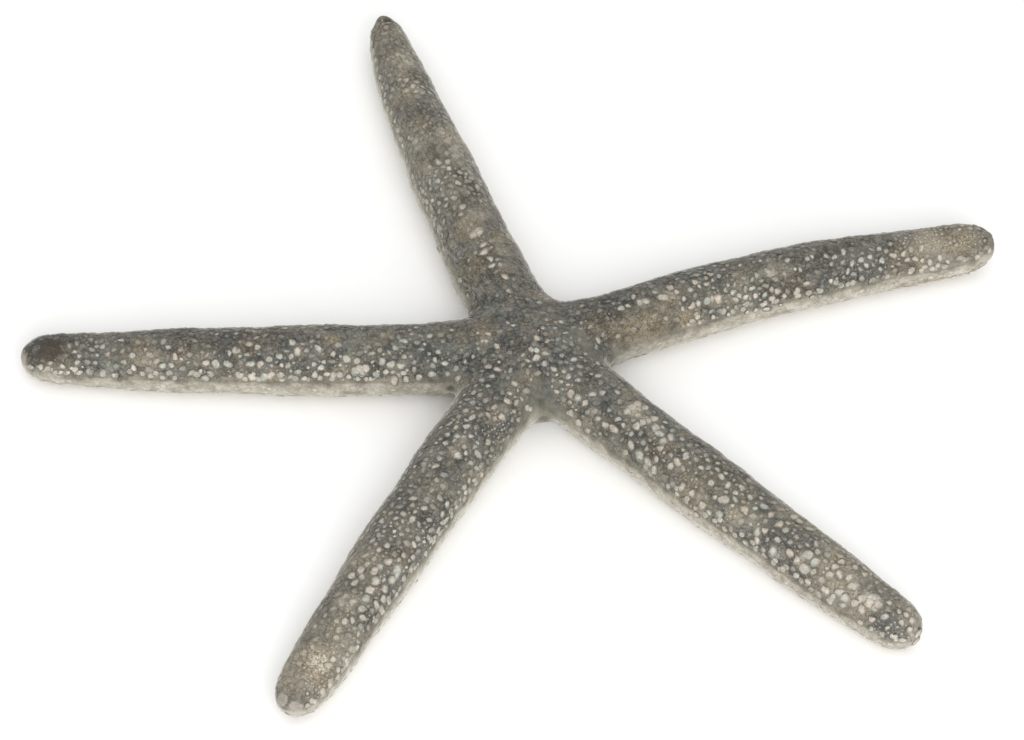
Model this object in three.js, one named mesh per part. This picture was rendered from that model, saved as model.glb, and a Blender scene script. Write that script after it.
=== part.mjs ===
// A dried finger sea star: one grown body with five long round arms and a small domed disc.
// Units are millimetres, +Z is up, and the star lies on its flattened underside at z = 0.
// The body is one smooth skin around five blended arms. Each arm's share of the skin is a grid of
// rows along the arm and columns around it, and every grid point is found by walking out from the
// arm's core until the blended arms end.

import * as THREE from "three";
import { mergeVertices } from "three/addons/utils/BufferGeometryUtils.js";

// Each arm's heading is in degrees, anticlockwise from +X as seen from above. Its length runs from
// the middle of the disc to its tip. Bow is how far its middle stands to the left of a straight line.
// Half width is that of its thick stretch, narrowing is how much of it is lost at the tip, and tip
// rise is how far the tip lifts.
const ARMS = [
  { heading: 19.6, length: 95.2, bow: 3.8, halfWidth: 7.25, narrowing: 2.3, tipRise: 2.3, swellStart: 0.3 },
  { heading: 109, length: 96.7, bow: 1.5, halfWidth: 7.7, narrowing: 4, tipRise: 3, swellStart: 2.1 },
  { heading: 180.5, length: 97.9, bow: 1.4, halfWidth: 7.4, narrowing: 2.8, tipRise: 0.9, swellStart: 4.4 },
  { heading: 243.2, length: 96.6, bow: -0.7, halfWidth: 7.45, narrowing: 2.8, tipRise: 1.6, swellStart: 1.2 },
  { heading: 316.7, length: 97.2, bow: -0.9, halfWidth: 7.35, narrowing: 2.4, tipRise: 0.5, swellStart: 3.3 },
];

// The arm's cross-section: half its width in the disc, and its heights as shares of the half width.
const DISC_HALF_WIDTH = 8.6;
const WAIST_SHARE = 0.74;
const CROWN_SHARE = 1;
const DISC_CROWN_SHARE = 0.64;
const BELLY_SHARE = 0.85;
const CROWN_POWER = 2.05;
const BELLY_POWER = 2.1;
const DISC_REACH = 24;

// The rounded end of an arm, the length over which it lifts, and the small end plate on it.
const CAP_LENGTH = 7.6;
const CAP_POWER = 2.6;
const LIFT_LENGTH = 17;
const END_PLATE_RADIUS = 1.8;
const END_PLATE_SETBACK = 1.9;
const END_PLATE_HEIGHT = 1.1;
const END_PLATE_BLEND = 0.45;

// Slow swellings along an arm, as shares of its half width.
const SWELL = 0.018;
const SWELL_LENGTH = 27;
const RIPPLE = 0.009;
const RIPPLE_LENGTH = 9.7;

// How softly the arms run into each other, which makes the rounded crotches and the disc's dome.
const BLEND = 1.55;

// The furrow under each arm, and the mouth where the furrows meet.
const FURROW_HALF_WIDTH = 1.6;
const FURROW_DEPTH = 2.6;
const FURROW_END_GAP = 3;
const FURROW_FADE = 6;
const MOUTH_RADIUS = 4.6;
const MOUTH_DEPTH = 3.6;

// The grid. Disc rows lie between the middle and the crotches, arm rows between the crotches and the cap.
const DISC_ROWS = 7;
const ARM_ROWS = 30;
const CAP_ROWS = 5;
const BACK_COLUMNS = 11;
const BELLY_COLUMNS = 10;
const FLAT_EDGE_SHARE = 0.47;
const FURROW_LIP_SHARE = 0.26;
const SKEW_LENGTH = 14;

// The search for the skin along a line.
const FIRST_STEP = 0.5;
const FARTHEST = 40;
const HALVINGS = 30;

const WELD = 1e-3;
const SKIN_COLOUR = 0x6b675e;

const radians = THREE.MathUtils.degToRad;
const mix = THREE.MathUtils.lerp;
const clamp = THREE.MathUtils.clamp;
const smooth = (value, low, high) => THREE.MathUtils.smoothstep(value, low, high);

for (const arm of ARMS) {
  arm.cos = Math.cos(radians(arm.heading));
  arm.sin = Math.sin(radians(arm.heading));
}

// The sideways place of an arm's core at a distance along it.
function bowAt(arm, along) {
  const share = clamp(along / arm.length, 0, 1);
  return arm.bow * 4 * share * (1 - share);
}

// A plan point as its distance along an arm and its distance to the left of the arm's core.
function inArm(arm, x, y) {
  const along = x * arm.cos + y * arm.sin;
  return { along, across: y * arm.cos - x * arm.sin - bowAt(arm, along) };
}

// Half the arm's width at a distance along it, before its swellings.
function plainHalfWidth(arm, along) {
  const share = clamp(along / arm.length, 0, 1);
  return mix(DISC_HALF_WIDTH, arm.halfWidth, smooth(along, 0, DISC_REACH)) - arm.narrowing * share ** 3;
}

function halfWidth(arm, along) {
  const swell = SWELL * Math.sin((along / SWELL_LENGTH) * 2 * Math.PI + arm.swellStart);
  const ripple = RIPPLE * Math.sin((along / RIPPLE_LENGTH) * 2 * Math.PI + 2 * arm.swellStart);
  return plainHalfWidth(arm, along) * (1 + swell + ripple);
}

// The height of the arm's widest line, which lifts towards the tip.
function waistHeight(arm, along) {
  const lift = clamp((along - arm.length + LIFT_LENGTH) / LIFT_LENGTH, 0, 1);
  return WAIST_SHARE * plainHalfWidth(arm, along) + arm.tipRise * lift ** 2;
}

// Below 0 inside one arm, above 0 outside it, about a distance in millimetres.
function armField(arm, x, y, z) {
  const { along, across } = inArm(arm, x, y);
  const half = halfWidth(arm, along);
  const rise = z - waistHeight(arm, along);
  const crownShare = mix(DISC_CROWN_SHARE, CROWN_SHARE, smooth(along, 0, DISC_REACH));
  const power = rise > 0 ? CROWN_POWER : BELLY_POWER;
  const height = half * (rise > 0 ? crownShare : BELLY_SHARE);
  const section = Math.abs(across / half) ** power + Math.abs(rise / height) ** power;
  const beyond = Math.max(0, (along - arm.length + CAP_LENGTH) / CAP_LENGTH) ** CAP_POWER;
  const behind = Math.max(0, -along / half) ** 2;
  return ((section + beyond + behind) ** (1 / power) - 1) * half;
}

// The small plate that ends an arm, a little above its waist.
function endPlateField(arm, x, y, z) {
  const { along, across } = inArm(arm, x, y);
  const height = waistHeight(arm, arm.length) + END_PLATE_HEIGHT;
  const reach = Math.hypot(along - arm.length + END_PLATE_SETBACK, across, z - height);
  return reach - END_PLATE_RADIUS;
}

// Below 0 inside the whole body: the arms blended with each other and with their end plates.
function bodyField(x, y, z) {
  let total = 0;
  for (const arm of ARMS) {
    total += Math.exp(-armField(arm, x, y, z) / BLEND);
  }
  const arms = -BLEND * Math.log(total);
  const plates = Math.min(...ARMS.map((arm) => endPlateField(arm, x, y, z)));
  const overlap = Math.max(0, END_PLATE_BLEND - Math.abs(arms - plates)) / END_PLATE_BLEND;
  return Math.min(arms, plates) - (overlap ** 2 * END_PLATE_BLEND) / 4;
}

// The distance from a point inside the body to its skin, along a unit direction.
function reachOfSkin(from, direction) {
  const outside = (r) =>
    bodyField(from.x + direction.x * r, from.y + direction.y * r, from.z + direction.z * r) > 0;
  let far = FIRST_STEP;
  while (!outside(far) && far < FARTHEST) {
    far += FIRST_STEP;
  }
  let near = far - FIRST_STEP;
  for (let i = 0; i < HALVINGS; i++) {
    const middle = (near + far) / 2;
    if (outside(middle)) {
      far = middle;
    } else {
      near = middle;
    }
  }
  return near;
}

// The skin point in a direction, stopped by the flat underside at z = 0.
function skinPoint(from, direction) {
  const floorReach = direction.z < 0 ? -from.z / direction.z : Infinity;
  const reach = reachOfSkin(from, direction);
  const point = from.clone().addScaledVector(direction, Math.min(reach, floorReach));
  point.z = reach >= floorReach ? 0 : point.z;
  return point;
}

// How far the furrows and the mouth lift the underside at a plan point.
function furrowLift(x, y) {
  let lift = MOUTH_DEPTH * Math.max(0, 1 - (Math.hypot(x, y) / MOUTH_RADIUS) ** 2);
  for (const arm of ARMS) {
    const { along, across } = inArm(arm, x, y);
    const end = arm.length - FURROW_END_GAP;
    const fade = along < 0 ? 0 : 1 - smooth(along, end - FURROW_FADE, end);
    const depth = FURROW_DEPTH * fade * Math.max(0, 1 - Math.abs(across) / FURROW_HALF_WIDTH);
    lift = Math.max(lift, depth);
  }
  return lift;
}

function lifted(point) {
  return new THREE.Vector3(point.x, point.y, point.z + furrowLift(point.x, point.y));
}

// The line between two neighbouring arms, cut into back and belly points from the middle to the crotch.
function crotchLine(right, left) {
  const turn = THREE.MathUtils.euclideanModulo(left.heading - right.heading, 360);
  const heading = radians(right.heading + turn / 2);
  const outward = new THREE.Vector3(Math.cos(heading), Math.sin(heading), 0);
  const middle = new THREE.Vector3(0, 0, WAIST_SHARE * DISC_HALF_WIDTH);
  const crotchReach = reachOfSkin(middle, outward);
  const back = [];
  const belly = [];
  for (let row = 0; row <= DISC_ROWS; row++) {
    const reach = crotchReach * Math.sin((Math.PI / 2) * (row / DISC_ROWS));
    const from = middle.clone().addScaledVector(outward, row < DISC_ROWS ? reach : crotchReach);
    const atCrotch = row === DISC_ROWS;
    back.push(atCrotch ? from : skinPoint(from, new THREE.Vector3(0, 0, 1)));
    belly.push(atCrotch ? from : lifted(skinPoint(from, new THREE.Vector3(0, 0, -1))));
  }
  return { back, belly };
}

// A point of the arm's core at a distance along it.
function corePoint(arm, along) {
  const bow = bowAt(arm, along);
  return new THREE.Vector3(
    along * arm.cos - bow * arm.sin,
    along * arm.sin + bow * arm.cos,
    waistHeight(arm, along),
  );
}

// Where the plan line from a right point to a left point crosses the arm's core.
function crossing(arm, right, left) {
  const a = inArm(arm, right.x, right.y);
  const b = inArm(arm, left.x, left.y);
  const share = a.across / (a.across - b.across);
  return corePoint(arm, mix(a.along, b.along, share));
}

// One row's points around the arm: over its back from right to left, and under its belly likewise.
// Side points that a crotch line gives are used as they are, so that neighbouring arms meet exactly.
function rowPoints(core, toRight, sides) {
  const ray = (angle) =>
    new THREE.Vector3(
      toRight.x * Math.cos(angle),
      toRight.y * Math.cos(angle),
      Math.sin(angle),
    );
  const angleOf = (point) =>
    Math.atan2(
      point.z - core.z,
      (point.x - core.x) * toRight.x + (point.y - core.y) * toRight.y,
    );
  const rightBack = sides ? angleOf(sides.right.back) : 0;
  const leftBack = sides ? angleOf(sides.left.back) : Math.PI;
  const back = [];
  for (let column = 0; column <= BACK_COLUMNS; column++) {
    const angle = mix(rightBack, leftBack, column / BACK_COLUMNS);
    back.push(skinPoint(core, ray(angle)));
  }
  const half = (side) =>
    sides
      ? Math.hypot(sides[side].belly.x - core.x, sides[side].belly.y - core.y)
      : back[side === "right" ? 0 : BACK_COLUMNS].distanceTo(core);
  const belly = [];
  for (const side of ["right", "left"]) {
    const width = half(side);
    const sign = side === "right" ? 1 : -1;
    const angleAt = (across) => Math.atan2(-core.z, sign * across);
    const lip = Math.min(FURROW_HALF_WIDTH, FURROW_LIP_SHARE * width);
    const flatEdge = angleAt(FLAT_EDGE_SHARE * width);
    const edge = side === "right" ? 0 : -Math.PI;
    const sideAngle = sides ? angleAt(width) : edge;
    const angles = [mix(sideAngle, flatEdge, 1 / 3), mix(sideAngle, flatEdge, 2 / 3), flatEdge, angleAt(lip)];
    const run = angles.map((angle) => lifted(skinPoint(core, ray(angle))));
    run.unshift(back[side === "right" ? 0 : BACK_COLUMNS].clone());
    belly.push(run);
  }
  const floor = lifted(skinPoint(core, new THREE.Vector3(0, 0, -1)));
  const row = { back, belly: [...belly[0], floor, ...belly[1].reverse()] };
  if (sides) {
    row.back[0] = sides.right.back;
    row.back[BACK_COLUMNS] = sides.left.back;
    row.belly[0] = sides.right.belly;
    row.belly[BELLY_COLUMNS] = sides.left.belly;
  }
  return row;
}

// The tip's own point, straight out along the core.
function tipPoint(arm) {
  const core = corePoint(arm, arm.length - CAP_LENGTH);
  core.z = waistHeight(arm, arm.length) + END_PLATE_HEIGHT / 2;
  return skinPoint(core, new THREE.Vector3(arm.cos, arm.sin, 0));
}

// Every row of one arm, from the middle of the disc to the tip.
function armRows(arm, rightLine, leftLine) {
  const rows = [];
  for (let i = 1; i <= DISC_ROWS; i++) {
    const sides = {
      right: { back: rightLine.back[i], belly: rightLine.belly[i] },
      left: { back: leftLine.back[i], belly: leftLine.belly[i] },
    };
    const core = crossing(arm, sides.right.back, sides.left.back);
    const toRight = sides.right.back.clone().sub(sides.left.back).setZ(0).normalize();
    rows.push(rowPoints(core, toRight, sides));
  }
  const lastRight = rightLine.back[DISC_ROWS];
  const lastLeft = leftLine.back[DISC_ROWS];
  const chord = lastRight.clone().sub(lastLeft).setZ(0).normalize();
  const start = inArm(arm, ...crossing(arm, lastRight, lastLeft).toArray()).along;
  const square = new THREE.Vector3(arm.sin, -arm.cos, 0);
  const capStart = arm.length - CAP_LENGTH;
  const tip = tipPoint(arm);
  const tipAlong = inArm(arm, tip.x, tip.y).along;
  for (let i = 1; i < ARM_ROWS + CAP_ROWS; i++) {
    const along =
      i <= ARM_ROWS
        ? mix(start, capStart, i / ARM_ROWS)
        : mix(capStart, tipAlong, Math.sin(((i - ARM_ROWS) / CAP_ROWS) * (Math.PI / 2)));
    const turned = smooth(along, start, start + SKEW_LENGTH);
    const toRight = chord.clone().lerp(square, turned).normalize();
    const core = corePoint(arm, Math.min(along, tipAlong));
    core.z = mix(core.z, tip.z, smooth(along, capStart, tipAlong));
    rows.push(rowPoints(core, toRight, null));
  }
  return { rows, tip };
}

// Adds the two triangles of a grid cell. Corners run anticlockwise as seen from outside.
function addCell(triangles, a, b, c, d) {
  triangles.push(a, b, c, a, c, d);
}

// Joins two neighbouring rows of points, the second one further along the arm.
function addStrip(triangles, near, far, isBack) {
  for (let i = 0; i + 1 < near.length; i++) {
    if (isBack) {
      addCell(triangles, near[i], far[i], far[i + 1], near[i + 1]);
    } else {
      addCell(triangles, near[i + 1], far[i + 1], far[i], near[i]);
    }
  }
}

// Joins a row of points to one point before or after it.
function addFan(triangles, row, point, anticlockwise) {
  for (let i = 0; i + 1 < row.length; i++) {
    triangles.push(...(anticlockwise ? [point, row[i], row[i + 1]] : [point, row[i + 1], row[i]]));
  }
}

function starfishGeometry() {
  const lines = ARMS.map((arm, i) => crotchLine(arm, ARMS[(i + 1) % ARMS.length]));
  const triangles = [];
  ARMS.forEach((arm, i) => {
    const rightLine = lines[(i + ARMS.length - 1) % ARMS.length];
    const leftLine = lines[i];
    const { rows, tip } = armRows(arm, rightLine, leftLine);
    addFan(triangles, rows[0].back, leftLine.back[0], true);
    addFan(triangles, rows[0].belly, leftLine.belly[0], false);
    for (let r = 0; r + 1 < rows.length; r++) {
      addStrip(triangles, rows[r].back, rows[r + 1].back, true);
      addStrip(triangles, rows[r].belly, rows[r + 1].belly, false);
    }
    const last = rows[rows.length - 1];
    addFan(triangles, last.back, tip, false);
    addFan(triangles, last.belly, tip, true);
  });
  const soup = new THREE.BufferGeometry().setFromPoints(triangles);
  const geometry = mergeVertices(soup, WELD);
  geometry.computeBoundingBox();
  const middle = geometry.boundingBox.getCenter(new THREE.Vector3());
  geometry.translate(-middle.x, -middle.y, 0);
  geometry.computeVertexNormals();
  return geometry;
}

const skin = new THREE.MeshStandardMaterial({ color: SKIN_COLOUR, roughness: 0.9, metalness: 0 });
const body = new THREE.Mesh(starfishGeometry(), skin);
body.name = "starfish";

const starfish = new THREE.Group();
starfish.add(body);

export default starfish;
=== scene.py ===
# %% [markdown]
# # A dried finger sea star
#
# This lesson dresses a plain solid of a dried starfish until it looks like the real one: a dark,
# rough skin, pale plates in loose rows, a beige flank and a furrowed underside. The solid comes
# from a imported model, and everything here is built on it, in metres and in its frame.

# %% Load the solid that everything is built on
import math
import random

import bmesh
import bpy
import numpy as np
from mathutils import Matrix, Vector, noise
from mathutils.bvhtree import BVHTree


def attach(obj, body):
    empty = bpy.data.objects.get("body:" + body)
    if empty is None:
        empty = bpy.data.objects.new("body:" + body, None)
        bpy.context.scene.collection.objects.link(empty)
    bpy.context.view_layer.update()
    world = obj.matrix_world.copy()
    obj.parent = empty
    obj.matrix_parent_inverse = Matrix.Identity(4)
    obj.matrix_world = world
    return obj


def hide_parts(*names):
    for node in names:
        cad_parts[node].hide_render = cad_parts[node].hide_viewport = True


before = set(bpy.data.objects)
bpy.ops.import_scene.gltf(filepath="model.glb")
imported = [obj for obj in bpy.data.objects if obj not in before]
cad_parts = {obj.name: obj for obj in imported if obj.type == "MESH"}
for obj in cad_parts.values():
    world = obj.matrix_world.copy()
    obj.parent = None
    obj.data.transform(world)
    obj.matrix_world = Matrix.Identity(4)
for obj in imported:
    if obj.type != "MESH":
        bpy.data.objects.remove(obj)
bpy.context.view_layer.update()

# %% [markdown]
# ## The star's own measures
#
# A finger sea star is five nearly round arms that meet in a small disc. Almost every detail on it
# keeps its place along an arm and around it, so the few numbers that describe the arms are named
# first. The other cells ask for points by arm, by distance along it and by angle around it.

# %% The arms, in millimetres and degrees
MM = 0.001
SEED = 11
DISC_MIDDLE = Vector((4.018, -2.431, 0))
DISC_HALF_WIDTH = 8.6
DISC_REACH = 24
WAIST_SHARE = 0.74
LIFT_LENGTH = 17

MEASURES = ("heading", "length", "bow", "half_width", "narrowing", "tip_rise")
ARMS = {
    name: dict(zip(MEASURES, values)) for name, *values in (
        ("right", 19.6, 95.2, 3.8, 7.25, 2.3, 2.3),
        ("back", 109, 96.7, 1.5, 7.7, 4, 3),
        ("left", 180.5, 97.9, 1.4, 7.4, 2.8, 0.9),
        ("front_left", 243.2, 96.6, -0.7, 7.45, 2.8, 1.6),
        ("front_right", 316.7, 97.2, -0.9, 7.35, 2.4, 0.5),
    )
}


def smooth(value, low, high):
    """0 below low, 1 above high, and an even rise between them. Works on numbers and arrays."""
    share = np.clip((value - low) / (high - low), 0, 1)
    return share * share * (3 - 2 * share)


def bow_at(arm, along):
    share = np.clip(along / arm["length"], 0, 1)
    return arm["bow"] * 4 * share * (1 - share)


def half_width_at(arm, along):
    share = np.clip(along / arm["length"], 0, 1)
    thick = DISC_HALF_WIDTH + (arm["half_width"] - DISC_HALF_WIDTH) * smooth(along, 0, DISC_REACH)
    return thick - arm["narrowing"] * share ** 3


def waist_at(arm, along):
    """The height of the arm's widest line."""
    lift = np.clip((along - arm["length"] + LIFT_LENGTH) / LIFT_LENGTH, 0, 1)
    return WAIST_SHARE * half_width_at(arm, along) + arm["tip_rise"] * lift ** 2


def axes_of(arm):
    """Unit vectors along the arm and to its left."""
    turn = math.radians(arm["heading"])
    return Vector((math.cos(turn), math.sin(turn), 0)), Vector((-math.sin(turn), math.cos(turn), 0))


def core_point(arm, along):
    """The point in the middle of the arm at that distance from the middle of the disc."""
    forward, left = axes_of(arm)
    place = DISC_MIDDLE + forward * along + left * float(bow_at(arm, along))
    place.z = float(waist_at(arm, along))
    return place


print("arms", {name: arm["length"] for name, arm in ARMS.items()})

# %% [markdown]
# ## The camera
#
# The photo looks down at the star from the front, about 48 degrees above the table, with a long
# lens, because the arms that come forward are hardly larger than those that go back. The camera is
# aimed by saying where the middle of the disc lands in the picture. It comes first because some
# marks on the skin are placed by the pixel where the photo shows them.

# %% Camera
PHOTO_SIZE = (1024, 740)
FOCAL_PIXELS = 4994
SENSOR_WIDTH = 36
CAMERA_ELEVATION = math.radians(48)
CAMERA_DISTANCE = 949
CAMERA_ROLL = math.radians(0.9)
AIM_HEIGHT = 8
AIM_PIXEL = (532.9, 348.9)

look = Vector((0, math.cos(CAMERA_ELEVATION), -math.sin(CAMERA_ELEVATION)))
flat_right = Vector((1, 0, 0))
flat_up = flat_right.cross(look)
picture_right = math.cos(CAMERA_ROLL) * flat_right + math.sin(CAMERA_ROLL) * flat_up
picture_up = math.cos(CAMERA_ROLL) * flat_up - math.sin(CAMERA_ROLL) * flat_right


def ray_through(pixel):
    """The direction from the camera through a pixel of the photo."""
    across = (pixel[0] - PHOTO_SIZE[0] / 2) / FOCAL_PIXELS
    down = (pixel[1] - PHOTO_SIZE[1] / 2) / FOCAL_PIXELS
    return look + picture_right * across - picture_up * down


EYE = (DISC_MIDDLE + Vector((0, 0, AIM_HEIGHT)) - CAMERA_DISTANCE * ray_through(AIM_PIXEL)) * MM

camera_data = bpy.data.cameras.new("photo_camera")
camera_data.sensor_width = SENSOR_WIDTH
camera_data.lens = SENSOR_WIDTH * FOCAL_PIXELS / PHOTO_SIZE[0]
camera_data.clip_start = 0.05
camera_data.clip_end = 20
camera = bpy.data.objects.new("photo_camera", camera_data)
turn = Matrix((picture_right, picture_up, -look)).transposed()
camera.matrix_world = Matrix.Translation(EYE) @ turn.to_4x4()
bpy.context.scene.collection.objects.link(camera)
bpy.context.scene.camera = camera
print("camera lens", round(camera_data.lens, 1), "mm at", [round(value, 3) for value in EYE])

# %% [markdown]
# ## Floor and light
#
# The star was photographed on pure white with light from everywhere, so its shadows are faint and
# its underside is lit by the floor. A wide pale floor, an even pale sky and one large soft lamp
# from the viewer's side do the same. The lamp makes the near flanks a little lighter than the
# backs.

# %% Colours, helpers for meshes, the floor and the lamps
def colour(red, green, blue):
    """A colour as seen on screen, 0 to 255, turned into the linear values that Blender mixes."""
    shares = [value / 255 for value in (red, green, blue)]
    return (*[s / 12.92 if s <= 0.04045 else ((s + 0.055) / 1.055) ** 2.4 for s in shares], 1)


def add_object(name, mesh):
    piece = bpy.data.objects.new(name, mesh)
    bpy.context.scene.collection.objects.link(piece)
    return piece


def plain_material(name, tone, roughness):
    made = bpy.data.materials.new(name)
    made.use_nodes = True
    shader = made.node_tree.nodes["Principled BSDF"]
    shader.inputs["Base Color"].default_value = tone
    shader.inputs["Roughness"].default_value = roughness
    return made


FLOOR_HALF = 3.0
floor_mesh = bpy.data.meshes.new("floor")
floor_corners = [(-1, -1, 0), (1, -1, 0), (1, 1, 0), (-1, 1, 0)]
floor_places = [Vector(corner) * FLOOR_HALF for corner in floor_corners]
floor_mesh.from_pydata(floor_places, [], [(0, 1, 2, 3)])
floor = add_object("floor", floor_mesh)
floor.data.materials.append(plain_material("pale_floor", colour(253, 253, 252), 0.9))

scene = bpy.context.scene
scene.view_settings.view_transform = "Standard"
world = bpy.data.worlds.new("pale_room")
world.use_nodes = True
world.node_tree.nodes["Background"].inputs["Color"].default_value = (1, 1, 1, 1)
world.node_tree.nodes["Background"].inputs["Strength"].default_value = 0.86
scene.world = world


def add_lamp(name, place, size, watts):
    lamp_data = bpy.data.lights.new(name, "AREA")
    lamp_data.size = size
    lamp_data.energy = watts
    lamp = bpy.data.objects.new(name, lamp_data)
    lamp.location = place
    lamp.rotation_euler = (-Vector(place)).to_track_quat("-Z", "Y").to_euler()
    scene.collection.objects.link(lamp)


add_lamp("front_lamp", (0.15, -0.85, 0.5), 0.8, 8.1)
print("floor, sky and lamp made")

# %% [markdown]
# ## The skin, made finer
#
# The solid has only a few thousand triangles, enough for its form but not for bumps of a
# millimetre. Its triangles are merged at their corners, paired back into the four-sided cells that
# they were cut from, and divided twice. A subdivision surface rounds a grid of such cells evenly,
# which it doesn't do with triangles.

# %% Merge, pair and divide
WELD = 1e-6
DIVISIONS = 2


def evaluated_mesh(piece):
    """The piece's mesh with its modifiers applied, as a new plain mesh."""
    graph = bpy.context.evaluated_depsgraph_get()
    return bpy.data.meshes.new_from_object(piece.evaluated_get(graph))


work = bmesh.new()
work.from_mesh(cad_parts["starfish"].data)
bmesh.ops.remove_doubles(work, verts=work.verts, dist=WELD)
bmesh.ops.join_triangles(
    work,
    faces=work.faces,
    angle_face_threshold=math.pi,
    angle_shape_threshold=math.pi,
)
coarse = bpy.data.meshes.new("skin_coarse")
work.to_mesh(coarse)
four_sided = sum(len(polygon.vertices) == 4 for polygon in coarse.polygons)
print("cells", len(coarse.polygons), "of them four-sided", four_sided)
work.free()

skin = add_object("skin", coarse)
divide = skin.modifiers.new("divide", "SUBSURF")
divide.levels = DIVISIONS
divide.render_levels = DIVISIONS
fine = evaluated_mesh(skin)
skin.modifiers.clear()
skin.data = fine
fine.polygons.foreach_set("use_smooth", [True] * len(fine.polygons))
print("fine skin", len(fine.vertices), "points", len(fine.polygons), "faces")

# %% [markdown]
# ## Where each point lies on its arm
#
# Every mark follows the arms, so each point of the skin gets its arm, its distance along it, its
# distance to the left of the core and its tilt: 90 degrees on the top of the back, 0 at the waist
# and -90 underneath.

# %% Arm coordinates of the skin
NAMES = list(ARMS)


def read_points(mesh):
    flat = np.zeros(len(mesh.vertices) * 3)
    mesh.vertices.foreach_get("co", flat)
    return flat.reshape(-1, 3) / MM


def read_normals(mesh):
    flat = np.zeros(len(mesh.vertices) * 3)
    mesh.vertices.foreach_get("normal", flat)
    return flat.reshape(-1, 3)


def on_arms(points):
    """Each point's arm number, distance along it, distance to its left and tilt in degrees."""
    alongs, lefts = [], []
    for arm in ARMS.values():
        forward, left = (np.array(axis) for axis in axes_of(arm))
        along = (points - np.array(DISC_MIDDLE)) @ forward
        alongs.append(along)
        lefts.append((points - np.array(DISC_MIDDLE)) @ left - bow_at(arm, along))
    alongs, lefts = np.array(alongs), np.array(lefts)
    nearest = np.where(alongs > 0, np.abs(lefts), np.inf).argmin(0)
    row = np.arange(len(points))
    along, left = alongs[nearest, row], lefts[nearest, row]
    waist = np.zeros(len(points))
    for number, arm in enumerate(ARMS.values()):
        own = nearest == number
        waist[own] = waist_at(arm, along[own])
    tilt = np.degrees(np.arctan2(points[:, 2] - waist, np.abs(left)))
    return nearest, along, left, tilt


points = read_points(fine)
arm_number, along, left, tilt = on_arms(points)
print("points per arm", np.bincount(arm_number).tolist())

# %% [markdown]
# ## Finding a place on the skin
#
# Two questions come back all the time: where is the skin at this angle around an arm, and where is
# the skin behind this pixel of the photo? Both are answered by a ray that stops at the first face
# it meets.

# %% Rays onto the skin
def tree_of(mesh):
    corners = [vertex.co.copy() for vertex in mesh.vertices]
    return BVHTree.FromPolygons(corners, [tuple(polygon.vertices) for polygon in mesh.polygons])


skin_tree = tree_of(fine)
RAY_LENGTH = 0.05
LONG_RAY_LENGTH = 5


def skin_at(arm, along_arm, angle):
    """Place and outward normal on an arm. Angle 0 is its left waist, 90 its top, 180 its right."""
    _, to_left = axes_of(arm)
    turn = math.radians(angle)
    away = to_left * math.cos(turn) + Vector((0, 0, math.sin(turn)))
    place, normal, _, _ = skin_tree.ray_cast(core_point(arm, along_arm) * MM, away, RAY_LENGTH)
    return place, normal


def seen_at(pixel):
    """Place and outward normal of the skin that the photo shows at a pixel."""
    place, normal, _, _ = skin_tree.ray_cast(EYE, ray_through(pixel).normalized(), LONG_RAY_LENGTH)
    return place, normal


print("skin under the aim pixel", [round(value / MM, 1) for value in seen_at(AIM_PIXEL)[0]])

# %% [markdown]
# ## Marks that the photo shows
#
# Some marks belong to this star alone: worn pinkish patches, brown stains, a crease where two arms
# meet. Each is put where the photo shows it, by its pixel, and has its real radius in millimetres.
# A mark becomes a mask, a number from 0 to 1 that fades out around its place on the skin.

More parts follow.
